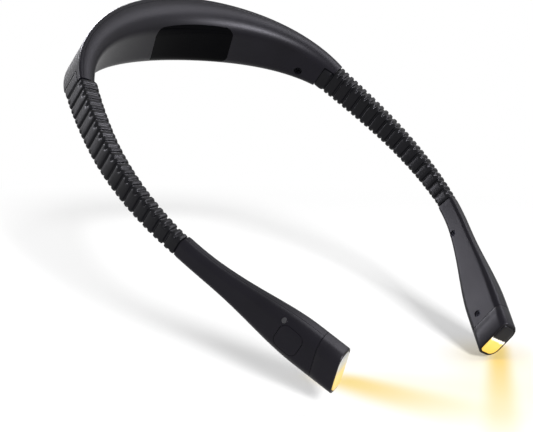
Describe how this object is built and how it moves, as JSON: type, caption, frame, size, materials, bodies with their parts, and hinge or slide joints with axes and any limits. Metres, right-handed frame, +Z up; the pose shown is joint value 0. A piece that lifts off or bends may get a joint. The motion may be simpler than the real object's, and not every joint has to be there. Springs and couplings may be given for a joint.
{
  "type": "neck reading light",
  "caption": "Hands-free reading light worn round the neck: a curved rear collar, ribbed bendable arms and slim lamp heads with slanted lenses and push buttons.",
  "frame": {"origin": "middle of the collar's neck side, where it rests on the back of the neck", "axes": "worn pose: +X to the wearer's left as seen from the front, so the right arm of the row is at +X; the arms run towards -Y; +Z up"},
  "size_m": [0.1916, 0.178, 0.1587],
  "materials": {
    "shell_black": "satin moulded ABS",
    "gloss_black": "polished moulded ABS",
    "screw_steel": "blackened steel",
    "cell_wrap": "silver pouch film",
    "foam": "closed-cell foam",
    "wire_red": "PVC insulation",
    "wire_black": "PVC insulation",
    "board_green": "solder-masked glass epoxy board",
    "board_white": "white solder-masked board",
    "socket_steel": "stamped and plated",
    "ferrule_brass": "crimped",
    "sleeve_rubber": "smooth silicone rubber",
    "core_steel": "wound bendable core",
    "lens_diffuser": "frosted acrylic, lit amber",
    "reflector_white": "white moulded",
    "led_phosphor": "yellow phosphor",
    "switch_black": "moulded nylon",
    "light_pipe_clear": "clear acrylic"
  },
  "bodies": {
    "root": {"collar_outer_shell": "shell_black", "collar_inner_shell": "shell_black", "inlay_panel": "gloss_black", "collar_screws": "screw_steel", "battery_cell": "cell_wrap", "battery_pad": "foam", "battery_leads": "wire_red", "driver_board": "board_green", "charging_socket": "socket_steel", "arm_root_ferrules": "ferrule_brass"},
    "left_arm": {"left_sleeve": "sleeve_rubber", "left_lead": "wire_black"},
    "left_arm_end": {"left_bendable_core": "core_steel"},
    "left_head": {"left_head_outer_shell": "shell_black", "left_head_inner_shell": "shell_black", "left_head_ferrule": "ferrule_brass", "left_head_screws": "screw_steel", "left_end_cap": "gloss_black", "left_lens": "lens_diffuser", "left_reflector": "reflector_white", "left_led_board": "board_white", "left_led_chips": "led_phosphor", "left_led_lead": "wire_black", "left_switch_board": "board_green", "left_switch": "switch_black", "left_indicator": "light_pipe_clear"},
    "left_button": {"left_button": "shell_black", "left_switch_plunger": "switch_black"},
    "right_arm": {"right_sleeve": "sleeve_rubber", "right_lead": "wire_black"},
    "right_arm_end": {"right_bendable_core": "core_steel"},
    "right_head": {"right_head_outer_shell": "shell_black", "right_head_inner_shell": "shell_black", "right_head_ferrule": "ferrule_brass", "right_head_screws": "screw_steel", "right_end_cap": "gloss_black", "right_lens": "lens_diffuser", "right_reflector": "reflector_white", "right_led_board": "board_white", "right_led_chips": "led_phosphor", "right_led_lead": "wire_black", "right_switch_board": "board_green", "right_switch": "switch_black", "right_indicator": "light_pipe_clear"},
    "right_button": {"right_button": "shell_black", "right_switch_plunger": "switch_black"}
  },
  "joints": [
    {"name": "left_arm_spread", "type": "hinge", "parent": "root", "child": "left_arm", "pos_m": [-0.08542, -0.04075, -0.02995], "axis": [0, 0.673, -0.7396], "range_deg": [-5, 25], "deforming": ["left_sleeve", "left_lead", "left_bendable_core"]},
    {"name": "left_head_aim", "type": "hinge", "parent": "left_arm", "child": "left_arm_end", "pos_m": [-0.09161, -0.06766, -0.05292], "axis": [0, 0.673, -0.7396], "range_deg": [-15, 30], "deforming": ["left_sleeve", "left_lead", "left_bendable_core"]},
    {"name": "left_head_tilt", "type": "hinge", "parent": "left_arm_end", "child": "left_head", "pos_m": [-0.08959, -0.08754, -0.0695], "axis": [0.9826, 0.1373, 0.125], "range_deg": [-35, 35], "deforming": ["left_sleeve", "left_lead", "left_bendable_core"]},
    {"name": "left_button_press", "type": "slide", "parent": "left_head", "child": "left_button", "axis": [0.9272, 0.2771, 0.2521], "range_m": [0, 0.0005], "stiffness_N_per_m": 300, "springref_m": -0.003},
    {"name": "right_arm_spread", "type": "hinge", "parent": "root", "child": "right_arm", "pos_m": [0.08542, -0.04075, -0.02995], "axis": [0, -0.673, 0.7396], "range_deg": [-5, 25], "deforming": ["right_sleeve", "right_lead", "right_bendable_core"]},
    {"name": "right_head_aim", "type": "hinge", "parent": "right_arm", "child": "right_arm_end", "pos_m": [0.09161, -0.06766, -0.05292], "axis": [0, -0.673, 0.7396], "range_deg": [-15, 30], "deforming": ["right_sleeve", "right_lead", "right_bendable_core"]},
    {"name": "right_head_tilt", "type": "hinge", "parent": "right_arm_end", "child": "right_head", "pos_m": [0.08959, -0.08754, -0.0695], "axis": [0.9513, 0.0211, -0.3075], "range_deg": [-35, 35], "deforming": ["right_sleeve", "right_lead", "right_bendable_core"]},
    {"name": "right_button_press", "type": "slide", "parent": "right_head", "child": "right_button", "axis": [-0.9083, 0.0909, 0.4083], "range_m": [0, 0.0005], "stiffness_N_per_m": 300, "springref_m": -0.003}
  ]
}
